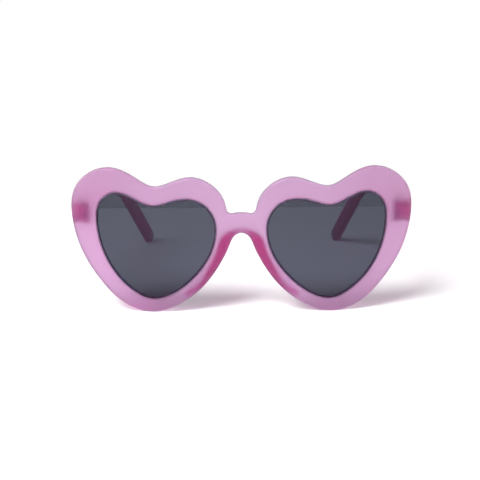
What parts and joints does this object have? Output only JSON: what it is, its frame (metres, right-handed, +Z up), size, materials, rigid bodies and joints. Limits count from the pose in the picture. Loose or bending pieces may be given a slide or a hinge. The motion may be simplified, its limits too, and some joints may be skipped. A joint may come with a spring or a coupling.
{
  "type": "heart shaped sunglasses",
  "caption": "Heart shaped sunglasses with a moulded translucent front, tinted lenses and folding temples that hook over the ears.",
  "frame": {"origin": "centre of the table footprint: under the middle of the box, on the plane that the heart tips and ear tips rest on", "axes": "+X towards the wearer's left, +Y from the front back along the open temples, +Z up"},
  "size_m": [0.1448, 0.1396, 0.0622],
  "materials": {
    "frame": "milky translucent pink lilac, polished",
    "lens": "clear smoke grey tint, polished",
    "steel": "bright turned steel"
  },
  "bodies": {
    "front": {"front_frame": "frame", "lens_left": "lens", "lens_right": "lens", "hinge_screw_left": "steel", "hinge_screw_right": "steel", "hinge_nut_left": "steel", "hinge_nut_right": "steel"},
    "left_temple": {"temple_left": "frame"},
    "right_temple": {"temple_right": "frame"}
  },
  "joints": [
    {"name": "temple_fold_left", "type": "hinge", "parent": "front", "child": "left_temple", "pos_m": [0.06665, -0.05691, 0.0421], "axis": [0, 0, 1], "range_deg": [0, 84]},
    {"name": "temple_fold_right", "type": "hinge", "parent": "front", "child": "right_temple", "pos_m": [-0.06665, -0.05691, 0.0421], "axis": [0, 0, -1], "range_deg": [0, 78]}
  ]
}
